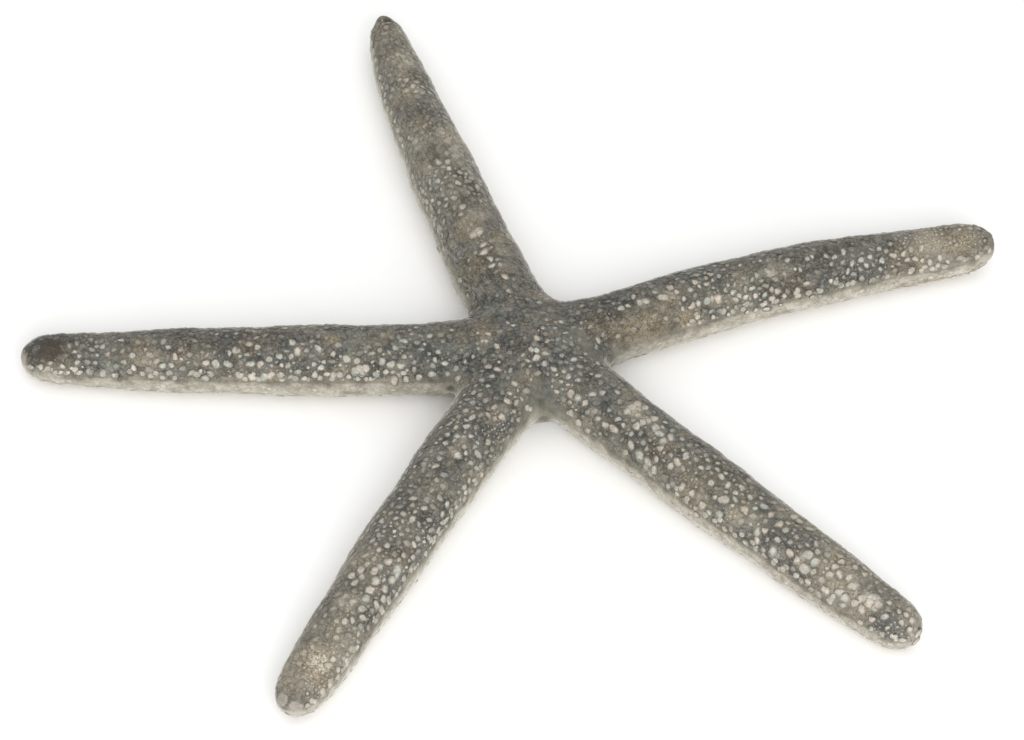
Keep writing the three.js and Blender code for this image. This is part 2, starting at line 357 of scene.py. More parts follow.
# %% Places of the marks
# Three numbers a mark: pixel across, pixel down, and radius in tenths of a millimetre.
MARKS = {
    "brown": [
        600, 322, 36, 622, 330, 40, 650, 332, 46, 690, 322, 32, 490, 412, 26, 485, 330, 24,
        474, 268, 42, 468, 226, 32, 800, 290, 35, 905, 262, 40, 425, 120, 30, 410, 90, 25,
        720, 470, 25, 655, 452, 24, 664, 446, 18, 680, 500, 22, 322, 672, 36, 310, 655, 40,
        400, 555, 25, 250, 345, 22, 180, 352, 20, 140, 345, 20, 330, 340, 20, 840, 560, 26,
        800, 520, 20, 500, 235, 20, 960, 240, 35,
    ],
    "slate": [
        415, 350, 50, 438, 362, 50, 500, 372, 40, 470, 400, 35, 575, 365, 40, 520, 262, 35,
        540, 285, 30, 600, 395, 35, 300, 345, 40, 90, 362, 35,
    ],
    "smooth": [
        541, 383, 18, 541, 394, 26, 541, 406, 36, 530, 412, 28, 553, 412, 28, 588, 345, 18,
        598, 356, 24, 576, 333, 15, 448, 385, 24, 458, 375, 16,
    ],
    "pale_end": [
        20, 360, 26, 22, 370, 24, 30, 380, 22, 296, 712, 24, 310, 714, 20, 281, 700, 16,
        916, 634, 17, 920, 640, 17, 905, 644, 17, 985, 262, 20,
    ],
    # Painted shade: very dark marks in small sunk pits near the tips and where two arms meet.
    "dark": [
        918, 627, 4.5, 921, 629, 4, 915, 632, 3, 982, 227, 6, 987, 229, 6, 992, 230, 5,
        285, 706, 4, 299, 709, 3, 387, 19, 9, 452, 397, 10,
    ],
    "crust": [
        632, 408, 18, 640, 405, 16, 650, 420, 18, 657, 430, 18, 664, 441, 16, 640, 456, 14,
        650, 466, 14, 757, 530, 8, 757, 542, 8, 775, 552, 16, 805, 560, 20, 585, 425, 16,
        270, 375, 16, 340, 372, 14, 362, 370, 18, 398, 380, 14, 395, 574, 14, 455, 452, 12,
        300, 350, 12, 238, 352, 12, 505, 410, 14, 640, 302, 16, 668, 295, 16, 715, 300, 16,
        770, 272, 14, 810, 282, 14, 545, 352, 14, 536, 345, 12, 486, 340, 20, 476, 230, 16,
        455, 150, 16, 468, 172, 14, 592, 412, 13, 420, 90, 12, 440, 130, 12,
    ],
    # Dark brown stains; the one at 452, 392 is painted shade where two arms meet.
    "dark_stain_and_shade": [
        46, 346, 20, 52, 350, 22, 44, 357, 18, 56, 342, 16, 900, 610, 11, 387, 22, 10,
        470, 180, 20, 463, 172, 18, 478, 192, 18, 452, 392, 16, 986, 240, 9, 899, 609, 12,
        490, 246, 12,
    ],
    "worn": [
        454, 140, 26, 462, 158, 26, 470, 172, 20, 446, 122, 22, 438, 104, 20, 420, 140, 22,
        428, 168, 18, 476, 214, 20, 466, 222, 18, 405, 60, 24, 318, 660, 24, 345, 600, 20,
        378, 585, 22, 640, 412, 22, 630, 425, 16, 700, 500, 18, 735, 520, 18, 870, 600, 22,
        850, 585, 20, 780, 270, 26, 740, 280, 20, 860, 255, 26, 930, 240, 28, 205, 352, 20,
        150, 360, 24, 270, 350, 16, 350, 362, 22, 400, 370, 20, 495, 418, 18, 460, 440, 18,
    ],
}
WORN_LIGHT = 0.32
CRUST_LIGHT = 0.5
# The crease is sunk into the skin, and the same line is painted dark as its shade.
CREASE_LINE = [(541, 402), (541, 420)]
MARK_FADE = (0.5, 1.4)


def marks_from(numbers):
    """The pixel and the radius in millimetres of each mark of a list like those above."""
    return [(numbers[i:i + 2], numbers[i + 2] / 10) for i in range(0, len(numbers), 3)]


def places_of(numbers):
    """Each mark's place on the skin in millimetres, with its radius."""
    seen = [(seen_at(pixel)[0], radius) for pixel, radius in marks_from(numbers)]
    return [(np.array(place) / MM, radius) for place, radius in seen if place is not None]


PLACES = {name: places_of(numbers) for name, numbers in MARKS.items()}


def mask_of(name, where):
    """0 to 1 at each of the points: 1 inside the marks, fading out beyond their radius."""
    mask = np.zeros(len(where))
    for place, radius in PLACES[name]:
        away = np.linalg.norm(where - place, axis=1)
        mask = np.maximum(mask, 1 - smooth(away, MARK_FADE[0] * radius, MARK_FADE[1] * radius))
    return mask


def marked_light(where):
    """How much paler the worn and the crusted marks make the ground."""
    return WORN_LIGHT * mask_of("worn", where) + CRUST_LIGHT * mask_of("crust", where)


print("marks found", {name: len(places) for name, places in PLACES.items()})

# %% [markdown]
# ## Relief that is really there
#
# Under a dried skin the limy plates stand a little proud and the skin between them has sunk. That
# relief is part of the shape, so it moves the points themselves and isn't left to the material. It
# only goes inwards, because the solid is the star's largest outline. The lumps come from a cell
# pattern: each point sinks with its distance from the nearest cell's middle. Where the back arm
# leaves the disc, the skin dried into long folds.

# %% Lumps, dents, folds and a crease
LUMP_SPACING = 2.4
LUMP_DEPTH = 0.22
DENT_SPACING = 11
DENT_DEPTH = 0.4
GRIT_SPACING = 0.9
GRIT_DEPTH = 0.05
FOLD_DEPTH = 0.4
FOLD_SPACING = 1.05
FOLD_ALONG = (10, 16, 30, 42)
FOLD_TILT = (-25, -5, 38, 62)
FOLD_BEND = 3.0
ARM_RADIUS = 7.5
PIT_DEPTH = 0.4
CREASE_DEPTH = 0.7
CREASE_HALF_WIDTH = 0.45
SKIN_SINK = 0.12


def lumps_at(place):
    cell = min(noise.voronoi(place / LUMP_SPACING)[0][0], 1)
    wave = noise.noise(place / DENT_SPACING)
    grit = noise.noise(place / GRIT_SPACING)
    return LUMP_DEPTH * cell ** 1.5 + DENT_DEPTH * max(0, wave) + GRIT_DEPTH * (0.5 + 0.5 * grit)


def folds_at():
    """Lengthwise folds at the left of the back arm's base: how deep, and where the crests are."""
    here = (arm_number == NAMES.index("back")) & (left > -2)
    fade = smooth(along, *FOLD_ALONG[:2]) * (1 - smooth(along, *FOLD_ALONG[2:]))
    fade = fade * smooth(tilt, *FOLD_TILT[:2]) * (1 - smooth(tilt, *FOLD_TILT[2:]))
    fade = fade * smooth(left, -1, 2)
    places = list(zip(along, tilt))
    bend = np.array([noise.noise(Vector((a / 7, t / 30, 0.5))) for a, t in places])
    patchy = np.array([noise.noise(Vector((a / 5, t / 12, 4))) for a, t in places])
    fade = fade * (0.35 + 0.65 * (0.5 + 0.5 * patchy))
    around = np.radians(tilt) * ARM_RADIUS + FOLD_BEND * bend + 0.06 * along
    wave = 0.5 + 0.5 * np.sin(2 * np.pi * around / FOLD_SPACING)
    return np.where(here, fade * wave, 0), np.where(here, fade * (1 - wave) ** 2, 0)


def crease_at(where):
    """A short crease between the two front arms, along the line between two seen places."""
    top, low = (np.array(seen_at(pixel)[0]) / MM for pixel in CREASE_LINE)
    run = low - top
    share = np.clip((where - top) @ run / (run @ run), 0, 1)
    away = np.linalg.norm(where - (top + share[:, None] * run), axis=1)
    return 1 - smooth(away, 0, CREASE_HALF_WIDTH * 2)


folds, crests = folds_at()
crease = crease_at(points)
calm = 1 - 0.7 * mask_of("smooth", points)
lumps = np.array([lumps_at(Vector(place)) for place in points])
depth = SKIN_SINK + calm * lumps + FOLD_DEPTH * folds + CREASE_DEPTH * crease
depth += PIT_DEPTH * mask_of("dark", points)
points = points - read_normals(fine) * depth[:, None]
fine.vertices.foreach_set("co", (points * MM).ravel())
fine.update()
skin_tree = tree_of(fine)
print("relief from", round(depth.min(), 2), "to", round(depth.max(), 2), "mm")

# %% [markdown]
# ## Masks on the skin
#
# The material has to know where the skin is brown or slate, where the belly begins, and where
# folds and smooth stretches lie. Each of these is a number on every point, from 0 for none of it
# to 1 for all of it. Only "light", the paler ground, can go above 1. The dark line is painted shade
# along the groove above the pale rows of each flank, and the furrow mask paints shade in the furrow
# under each arm.

# %% Masks as attributes of the mesh
BELLY_TOP = (0, 31)
LOW_BELLY_TOP = (-14, 20)
LINE_TILT = 13
LINE_HALF_WIDTH = 6
FURROW_EDGE = (0.6, 1.7)
FURROW_TILT = (50, 70)
WEB_ALONG = (10, 20)
WEB_TILT = (-58, -38)
WEB_HOLD = 0.88
PLAIN_WRINKLES = 0.25
CROSS_ALONG = (26, 36)
STREAK_RADIUS = 7.3
LIGHT_GROUND = {
    "right": (0.0, 0.05, 0.25, 0.35, 0.5),
    "back": (0.0, 0.25, 0.45, 0.45, 0.42),
    "left": (0.0, 0.15, 0.25, 0.2, 0.15),
    "front_left": (0.05, 0.25, 0.42, 0.5, 0.62),
    "front_right": (0.05, 0.15, 0.3, 0.45, 0.65),
}


def add_attribute(mesh, name, values):
    made = mesh.attributes.new(name, "FLOAT", "POINT")
    made.data.foreach_set("value", np.asarray(values, np.float32))


def in_steps(values, share):
    """A value from a few even steps between the disc and the tip of an arm."""
    return np.interp(share, np.linspace(0, 1, len(values)), values)


lengths = np.array([arm["length"] for arm in ARMS.values()])
light = np.zeros(len(points))
for number, steps in enumerate(LIGHT_GROUND.values()):
    own = arm_number == number
    light[own] = in_steps(steps, along[own] / lengths[number])
light += marked_light(points)
from_tip = lengths[arm_number] - along
on_back_arm = arm_number == NAMES.index("back")
near_disc = 1 - smooth(along, *WEB_ALONG)
held_back = 1 - WEB_HOLD * near_disc * smooth(tilt, *WEB_TILT)
belly = (1 - smooth(tilt, *BELLY_TOP)) * held_back
line = 1 - smooth(np.abs(tilt - LINE_TILT), 0.3 * LINE_HALF_WIDTH, LINE_HALF_WIDTH)
wrinkled = PLAIN_WRINKLES + (1 - PLAIN_WRINKLES) * on_back_arm * smooth(along, 6, 14)
MASKS = {
    "belly": belly,
    "low_belly": (1 - smooth(tilt, *LOW_BELLY_TOP)) * held_back,
    # The line mask is painted shade along the groove above the pale rows.
    "line": line * smooth(from_tip, 4, 9) * (1 - near_disc),
    # The furrow mask is painted shade in the groove under each arm.
    "furrow": (1 - smooth(np.abs(left), *FURROW_EDGE)) * smooth(-tilt, *FURROW_TILT),
    "light": light,
    "crease": crease,
    "crests": crests,
    "wrinkled": wrinkled * (1 - belly),
    "pale_end": np.maximum(mask_of("pale_end", points), 0.7 * (1 - smooth(from_tip, 0, 2.2))),
    **{name: mask_of(name, points) for name in ("brown", "slate", "smooth", "dark", "dark_stain_and_shade")},
}
for name, values in MASKS.items():
    add_attribute(fine, name, values)

cross = on_back_arm * (1 - smooth(along, *CROSS_ALONG)) * smooth(-left, -3, 1)
girth = np.radians(np.where(left > 0, tilt, 180 - tilt)) * STREAK_RADIUS
streaks = np.stack([along + 40 * arm_number, girth, cross * 0], axis=1)
streaks[:, 0] *= 0.22 + 0.78 * cross
streaks[:, 1] *= 1 - 0.75 * cross
made = fine.attributes.new("streaks", "FLOAT_VECTOR", "POINT")
made.data.foreach_set("vector", (streaks * MM).astype(np.float32).ravel())
print("belly share", round(float(belly.mean()), 2))

# %% [markdown]
# ## Patterns that several finishes share
#
# Four effects are needed in more than one material, so each is a node group with named inputs: a
# slow mix of two tones, a crisp-edged stain, a grain of tiny granules, and the dark ground of the
# skin. A group only gives out colours and numbers. The shader that uses them stays in its own
# material.

# %% Small helpers for node trees
def link_or_set(tree, socket, value):
    if isinstance(value, bpy.types.NodeSocket):
        tree.links.new(value, socket)
    else:
        socket.default_value = value


def put(tree, kind, settings=None, **inputs):
    """Adds a node. Settings are its own properties; inputs are named, or numbered as n0, n1."""
    made = tree.nodes.new(kind)
    for name, value in (settings or {}).items():
        setattr(made, name, value)
    for name, value in inputs.items():
        numbered = name[0] == "n" and name[1:].isdigit()
        link_or_set(tree, made.inputs[int(name[1:]) if numbered else name.replace("_", " ")], value)
    return made


SOCKETS = {float: "NodeSocketFloat", tuple: "NodeSocketColor", type(None): "NodeSocketVector"}


def new_group(name, inputs, outputs):
    """A shader node group. Inputs give each name its default; None stands for a place."""
    tree = bpy.data.node_groups.new(name, "ShaderNodeTree")
    for socket, default in inputs.items():
        made = tree.interface.new_socket(socket, in_out="INPUT", socket_type=SOCKETS[type(default)])
        if default is not None:
            made.default_value = default
    for socket in outputs:
        kind = "NodeSocketColor" if socket == "Colour" else "NodeSocketFloat"
        tree.interface.new_socket(socket, in_out="OUTPUT", socket_type=kind)
    return tree, tree.nodes.new("NodeGroupInput").outputs, tree.nodes.new("NodeGroupOutput").inputs


def calc(tree, operation, first, second=0.0, clamp=False):
    settings = {"operation": operation, "use_clamp": clamp}
    return put(tree, "ShaderNodeMath", settings, n0=first, n1=second).outputs[0]


def times(tree, first, second):
    return calc(tree, "MULTIPLY", first, second)


def mix(tree, share, first, second, blend="MIX"):
    settings = {"data_type": "RGBA", "blend_type": blend}
    return put(tree, "ShaderNodeMix", settings, n0=share, n6=first, n7=second).outputs[2]


def lay(tree, tone, over, mask, share):
    """Lays a colour over the tone where the mask says so, and only by a share."""
    return mix(tree, times(tree, mask, share), tone, over)


def rise(tree, value, low, high):
    """0 below low and 1 above high, for a socket."""
    made = put(tree, "ShaderNodeMapRange", {"interpolation_type": "SMOOTHSTEP"}, Value=value)
    made.inputs["From Min"].default_value = low
    made.inputs["From Max"].default_value = high
    return made.outputs["Result"]


def use(tree, group, **inputs):
    made = tree.nodes.new("ShaderNodeGroup")
    made.node_tree = group
    for name, value in inputs.items():
        link_or_set(tree, made.inputs[name.replace("_", " ")], value)
    return made.outputs


def attribute(tree, name):
    made = tree.nodes.new("ShaderNodeAttribute")
    made.attribute_name = name
    return made.outputs["Fac"]


print("node helpers ready")

# %% Two tones, stain and granules
def make_two_tones():
    tree, given, out = new_group("two_tones", {
        "Vector": None,
        "Spots per metre": 100.0,
        "First tone": (0, 0, 0, 1),
        "Second tone": (1, 1, 1, 1),
        "Contrast": 4.0,
    }, ("Colour", "Mask"))
    cloud = put(tree, "ShaderNodeTexNoise", Vector=given["Vector"], Scale=given["Spots per metre"],
                Detail=4.0, Roughness=0.62)
    from_middle = calc(tree, "SUBTRACT", cloud.outputs["Fac"], 0.5)
    stretched = times(tree, from_middle, given["Contrast"])
    mask = calc(tree, "ADD", stretched, 0.5, clamp=True)
    tree.links.new(mix(tree, mask, given["First tone"], given["Second tone"]), out["Colour"])
    tree.links.new(mask, out["Mask"])
    return tree


def make_stain():
    inputs = {"Vector": None, "Spots per metre": 300.0, "Zone": 0.0, "Softness": 0.08}
    tree, given, out = new_group("stain", inputs, ("Mask",))
    cloud = put(tree, "ShaderNodeTexNoise", Vector=given["Vector"], Scale=given["Spots per metre"],
                Detail=3.0, Roughness=0.6)
    level = calc(tree, "ADD", cloud.outputs["Fac"], given["Zone"])
    share = calc(tree, "DIVIDE", calc(tree, "SUBTRACT", level, 1.0), given["Softness"])
    tree.links.new(calc(tree, "ADD", share, 0.5, clamp=True), out["Mask"])
    return tree


def make_granules():
    inputs = {"Vector": None, "Granules per metre": 1800.0}
    tree, given, out = new_group("granules", inputs, ("Height", "Gap", "Chance"))
    scale = given["Granules per metre"]
    cells = put(tree, "ShaderNodeTexVoronoi", Vector=given["Vector"], Scale=scale).outputs
    tree.links.new(calc(tree, "SUBTRACT", 1.0, cells["Distance"], clamp=True), out["Height"])
    # Gap is 1 between the granules, where the finishes paint shade.
    tree.links.new(rise(tree, cells["Distance"], 0.4, 0.8), out["Gap"])
    parts = put(tree, "ShaderNodeSeparateColor", Color=cells["Color"]).outputs
    tree.links.new(parts[0], out["Chance"])
    return tree


TWO_TONES = make_two_tones()
STAIN = make_stain()
GRANULES = make_granules()


def tones(tree, place, spots, contrast, first, second):
    return use(tree, TWO_TONES, Vector=place, Spots_per_metre=spots, Contrast=contrast,
               First_tone=first, Second_tone=second)["Colour"]


def stain(tree, place, spots, zone, softness):
    return use(tree, STAIN, Vector=place, Spots_per_metre=spots, Zone=zone,
               Softness=softness)["Mask"]


print("groups", [group.name for group in (TWO_TONES, STAIN, GRANULES)])

# %% [markdown]
# ## The dark ground
#
# From a step away the skin is dark slate that turns brown and olive in patches. Between the plates
# lie roundish spots of bare, brown, coarsely granular skin, where the living star breathed. The
# same ground creeps over the rims of the plates, so it is one group that the skin and the plates
# both use. All pieces share one frame, so the patterns meet without a seam.

# %% Ground group
def make_ground():
    inputs = {"Vector": None, "Brown": 0.0, "Slate": 0.0, "Light": 0.0}
    tree, given, out = new_group("ground", inputs, ("Colour", "Height"))
    place = given["Vector"]
    slate = tones(tree, place, 420.0, 3.4, colour(44, 48, 49), colour(96, 98, 94))
    brown = tones(tree, place, 500.0, 3.0, colour(76, 70, 59), colour(120, 111, 93))
    zones = use(tree, TWO_TONES, Vector=place, Spots_per_metre=120.0, Contrast=6.0)
    pores = put(tree, "ShaderNodeTexVoronoi", Vector=place, Scale=300.0)
    bare = calc(tree, "SUBTRACT", 0.7, rise(tree, pores.outputs["Distance"], 0.2, 0.5), clamp=True)
    patches = calc(tree, "MAXIMUM", times(tree, zones["Mask"], 0.55), bare)
    patches = calc(tree, "MAXIMUM", patches, given["Brown"])
    not_slate = calc(tree, "SUBTRACT", 1.0, times(tree, given["Slate"], 0.8))
    browned = times(tree, patches, not_slate)
    tone = mix(tree, browned, slate, brown)
    paler = stain(tree, place, 260.0, calc(tree, "ADD", given["Light"], 0.02), 0.5)
    tone = lay(tree, tone, colour(146, 139, 125), paler, 0.6)
    crust = stain(tree, place, 800.0, calc(tree, "SUBTRACT", given["Light"], 0.36), 0.14)
    tone = lay(tree, tone, colour(172, 166, 154), crust, 0.8)
    clouds = tones(tree, place, 75.0, 5.0, colour(204, 207, 212), (1.4, 1.37, 1.3, 1))
    tone = mix(tree, 1.0, tone, clouds, "MULTIPLY")
    grain = use(tree, GRANULES, Vector=place, Granules_per_metre=2600.0)
    tone = lay(tree, tone, colour(158, 150, 134), rise(tree, grain["Chance"], 0.5, 1.0), 0.26)
    # Painted shade: the gaps between the granules are darkened, more in the brown patches.
    gap_share = calc(tree, "ADD", 0.22, times(tree, browned, 0.3))
    tone = lay(tree, tone, colour(44, 41, 38), grain["Gap"], gap_share)
    rusty = times(tree, rise(tree, grain["Chance"], 0.955, 0.965), browned)
    tone = lay(tree, tone, colour(150, 116, 82), rusty, 0.25)
    tree.links.new(tone, out["Colour"])
    tree.links.new(grain["Height"], out["Height"])
    return tree


GROUND = make_ground()
print("ground group has", len(GROUND.nodes), "nodes")

# %% [markdown]
# ## The skin's finish
#
# Each layer is mixed over the one before, with a mask from the mesh or from a pattern: the ground,
# then paler wear, then the smooth olive webs between the arms, the beige belly and its dark line.
# A little sheen, and a pale rim light painted where the sides turn away, give the light outline.

# %% Skin material
CHALKY = {
    "Specular IOR Level": 0.3, "Sheen Weight": 0.45, "Sheen Roughness": 0.35,
    "Sheen Tint": colour(240, 238, 230),
}
# Painted rim light: a pale colour, mixed in by how far the surface turns from the eye.
PAINTED_RIM_LIGHT = colour(206, 203, 194)
PAINTED_RIM_FACING = (0.68, 0.97)
PAINTED_RIM_SHARE = 0.6


def start_material(name, roughness):
    """An empty finish: its tree, its shader and the object's own coordinates."""
    made = bpy.data.materials.new(name)
    made.use_nodes = True
    tree = made.node_tree
    shader = tree.nodes["Principled BSDF"]
    for name, value in {"Roughness": roughness, **CHALKY}.items():
        shader.inputs[name].default_value = value
    return made, tree, shader, tree.nodes.new("ShaderNodeTexCoord").outputs["Object"]


def colour_with_painted_rim_light(tree, shader, tone, normal=None):
    """Painted rim light: a pale colour mixed in most where the skin turns away from the eye."""
    layer = tree.nodes.new("ShaderNodeLayerWeight")
    if normal is not None:
        tree.links.new(normal, layer.inputs["Normal"])
    turned = rise(tree, layer.outputs["Facing"], *PAINTED_RIM_FACING)
    tree.links.new(lay(tree, tone, PAINTED_RIM_LIGHT, turned, PAINTED_RIM_SHARE), shader.inputs["Base Color"])


def add_bump(tree, shader, height, distance, strength=1.0):
    bump = put(tree, "ShaderNodeBump", Height=height, Distance=distance, Strength=strength)
    tree.links.new(bump.outputs["Normal"], shader.inputs["Normal"])


def make_skin_finish():
    made, tree, shader, place = start_material("skin", 0.85)
    mask = {name: attribute(tree, name) for name in MASKS}

    def stained(name, spots, zone, softness):
        """A stain that follows one of the skin's masks."""
        return stain(tree, place, spots, times(tree, mask[name], zone), softness)

    ground = use(tree, GROUND, Vector=place, Brown=mask["brown"], Slate=mask["slate"],
                 Light=mask["light"])
    wear = stain(tree, place, 650.0, 0.37, 0.1)
    tone = lay(tree, ground["Colour"], colour(150, 147, 137), wear, 0.4)
    olive = tones(tree, place, 260.0, 3.0, colour(74, 76, 73), colour(122, 119, 107))
    beige = tones(tree, place, 420.0, 3.0, colour(136, 130, 116), colour(190, 186, 174))
    flank = tones(tree, place, 300.0, 4.0, colour(104, 100, 87), colour(172, 167, 153))
    streaks = put(tree, "ShaderNodeAttribute", {"attribute_name": "streaks"}).outputs["Vector"]
    wrinkles = put(tree, "ShaderNodeTexNoise", Vector=streaks, Scale=1150.0, Detail=3.0,
                   Roughness=0.6, Distortion=0.9).outputs["Fac"]
    # Painted light and shade on the wrinkles: their raised parts paler, their dips darker.
    wrinkle_tops = times(tree, rise(tree, wrinkles, 0.5, 0.72), mask["wrinkled"])
    wrinkle_dips = calc(tree, "SUBTRACT", 1.0, rise(tree, wrinkles, 0.34, 0.5))
    tone = lay(tree, tone, olive, mask["smooth"], 0.65)
    tone = lay(tree, tone, colour(62, 57, 49), times(tree, wrinkle_dips, mask["wrinkled"]), 0.45)
    tone = lay(tree, tone, colour(158, 148, 130), wrinkle_tops, 0.45)
    # Painted light: the crests of the folds are laid over in beige.
    tone = lay(tree, tone, beige, mask["crests"], 0.7)
    tone = mix(tree, mask["belly"], tone, flank)
    tone = mix(tree, stained("low_belly", 380.0, 1.1, 0.7), tone, beige)
    belly_grain = use(tree, GRANULES, Vector=place, Granules_per_metre=2200.0)
    # Painted shade in the gaps between the belly's granules.
    tone = lay(tree, tone, colour(96, 88, 72), times(tree, belly_grain["Gap"], mask["belly"]), 0.3)
    for name, spots, zone, softness, share, over in (
        ("pale_end", 900.0, 0.62, 0.3, 0.7, colour(164, 158, 149)),
        # Painted shade along the groove above the flank's pale rows.
        ("line", 420.0, 0.66, 0.3, 0.35, colour(92, 83, 68)),
        # Dark brown stains, and painted shade where two arms meet.
        ("dark_stain_and_shade", 700.0, 0.75, 0.5, 0.75, colour(60, 50, 43)),
    ):
        tone = lay(tree, tone, over, stained(name, spots, zone, softness), share)
    for name, share, over in (
        # Painted shade: a dark line along the crease.
        ("crease", 0.6, colour(48, 46, 40)),
        # Painted shade: very dark in the pits and where two arms meet.
        ("dark", 1.0, colour(42, 36, 31)),
        # Painted shade: the furrow under each arm is darkened.
        ("furrow", 0.75, colour(84, 66, 46)),
    ):
        tone = lay(tree, tone, over, mask[name], share)
    # Painted rim light on the skin's outline.
    colour_with_painted_rim_light(tree, shader, tone)
    wrinkle_height = times(tree, times(tree, wrinkles, 3.0), mask["wrinkled"])
    add_bump(tree, shader, calc(tree, "ADD", ground["Height"], wrinkle_height), 0.00013, 0.8)
    return made


skin_finish = make_skin_finish()
fine.materials.clear()
fine.materials.append(skin_finish)
print("skin finish has", len(skin_finish.node_tree.nodes), "nodes")

# %% [markdown]
# ## One tree that sets plates
#
# All the star's plates, granules and spines are the same idea: a small rounded shape, set on a
# point, turned to stand on the skin, scaled, and made a little irregular. Geometry Nodes do this
# well: the points carry the measures, and one tree turns any set of points into plates. A
# flattened ball would do as the shape, but its top is lifted to a flat dome, because real plates
# have a flat face and a steep edge. The irregularity only slides points along the skin, so plates
# keep their height while their outlines become lumpy.

# %% The plate-setting tree
def named(tree, name, kind="FLOAT"):
    made = tree.nodes.new("GeometryNodeInputNamedAttribute")
    made.data_type = kind
    made.inputs["Name"].default_value = name
    return made.outputs["Attribute"]


def vector_calc(tree, operation, first, second=None, scale=None):
    made = put(tree, "ShaderNodeVectorMath", {"operation": operation}, n0=first)
    if second is not None:
        link_or_set(tree, made.inputs[1], second)
    if scale is not None:
        link_or_set(tree, made.inputs["Scale"], scale)
    return made.outputs["Value"] if operation in ("LENGTH", "DOT_PRODUCT") else made.outputs[0]


def make_plate_tree():
    tree = bpy.data.node_groups.new("set_plates", "GeometryNodeTree")
    for name, kind, default in (
        ("Geometry", "Geometry", None), ("Sides", "Int", 9), ("Rings", "Int", 4),
        ("Edge steepness", "Float", 2.2), ("Unevenness", "Float", 0.0002),
        ("Waves per metre", "Float", 700.0), ("Finish", "Material", None),
    ):
        socket = tree.interface.new_socket(name, in_out="INPUT", socket_type="NodeSocket" + kind)
        if default is not None:
            socket.default_value = default
    tree.interface.new_socket("Geometry", in_out="OUTPUT", socket_type="NodeSocketGeometry")
    given = tree.nodes.new("NodeGroupInput").outputs
    ball = put(tree, "GeometryNodeMeshUVSphere", Segments=given["Sides"], Rings=given["Rings"],
               Radius=1.0)
    place = put(tree, "GeometryNodeInputPosition").outputs[0]
    parts = put(tree, "ShaderNodeSeparateXYZ", n0=place).outputs
    level = put(tree, "ShaderNodeCombineXYZ", X=parts[0], Y=parts[1]).outputs[0]
    from_axis = vector_calc(tree, "LENGTH", level)
    fall = calc(tree, "POWER", from_axis, given["Edge steepness"])
    signed = times(tree, calc(tree, "SUBTRACT", 1.0, fall), calc(tree, "SIGN", parts[2]))
    domed = put(tree, "ShaderNodeCombineXYZ", X=parts[0], Y=parts[1], Z=signed).outputs[0]
    rim = put(tree, "GeometryNodeStoreNamedAttribute", {"data_type": "FLOAT"},
              Geometry=ball.outputs["Mesh"], Name="rim", Value=from_axis)
    shape = put(tree, "GeometryNodeSetPosition", Geometry=rim.outputs[0], Position=domed)
    outward = named(tree, "outward", "FLOAT_VECTOR")
    upright = put(tree, "FunctionNodeAlignRotationToVector", {"axis": "Z"}, Vector=outward)
    turned = put(tree, "FunctionNodeAlignRotationToVector", {"axis": "X", "pivot_axis": "Z"},
                 Rotation=upright.outputs[0], Vector=named(tree, "lengthwise", "FLOAT_VECTOR"))
    copies = put(tree, "GeometryNodeInstanceOnPoints", Points=given["Geometry"],
                 Instance=shape.outputs[0], Rotation=turned.outputs[0],
                 Scale=named(tree, "radii", "FLOAT_VECTOR"))
    real = put(tree, "GeometryNodeRealizeInstances", n0=copies.outputs[0])
    wave = put(tree, "ShaderNodeTexNoise", Scale=given["Waves per metre"],
               Vector=put(tree, "GeometryNodeInputPosition").outputs[0])
    centred = vector_calc(tree, "SUBTRACT", wave.outputs["Color"], (0.5, 0.5, 0.5))
    rising = vector_calc(tree, "DOT_PRODUCT", centred, outward)
    upward = vector_calc(tree, "SCALE", outward, scale=rising)
    sideways = vector_calc(tree, "SUBTRACT", centred, upward)
    push = vector_calc(tree, "SCALE", sideways, scale=given["Unevenness"])
    uneven = put(tree, "GeometryNodeSetPosition", Geometry=real.outputs[0], Offset=push)
    soft = put(tree, "GeometryNodeSetShadeSmooth", n0=uneven.outputs[0])
    finished = put(tree, "GeometryNodeSetMaterial", Geometry=soft.outputs[0],
                   Material=given["Finish"])
    tree.links.new(finished.outputs[0], tree.nodes.new("NodeGroupOutput").inputs[0])
    return tree


PLATE_TREE = make_plate_tree()
SPOT_NUMBERS = ("tone", "pale", "brown", "slate", "light")


def set_plates(name, spots, finish, **choices):
    """Makes one piece from spots: dictionaries of a place, directions, radii and tones."""
    cloud = bpy.data.meshes.new(name + "_points")
    cloud.from_pydata([spot["place"] for spot in spots], [], [])
    for key in ("outward", "lengthwise", "radii"):
        made = cloud.attributes.new(key, "FLOAT_VECTOR", "POINT")
        made.data.foreach_set("vector", np.array([spot[key] for spot in spots], np.float32).ravel())
    for key in SPOT_NUMBERS:
        add_attribute(cloud, key, [spot.get(key, 0) for spot in spots])
    piece = add_object(name, cloud)
    modifier = piece.modifiers.new("set_plates", "NODES")
    modifier.node_group = PLATE_TREE
    values = {"Finish": finish, **{key.replace("_", " "): value for key, value in choices.items()}}
    for item in PLATE_TREE.interface.items_tree:
        if item.in_out == "INPUT" and item.name in values:
            modifier[item.identifier] = values[item.name]
    mesh = evaluated_mesh(piece)
    piece.modifiers.clear()
    piece.data = mesh
    bpy.data.meshes.remove(cloud)
    triangles = sum(len(polygon.vertices) - 2 for polygon in mesh.polygons)
    print(name, len(spots), "set,", triangles, "triangles")
    return piece


print("plate tree has", len(PLATE_TREE.nodes), "nodes")

# %% [markdown]
# ## The plates' finish
#
# A plate is pale and limy, cool grey on most of the back and pinkish where it is worn. Some have
# stayed nearly as dark as the skin. The ground creeps over each rim and in places over the top, so
# few plates look like clean discs.

# %% Plate materials
EDGE_FILM = 0.55
EDGE_START = 0.35


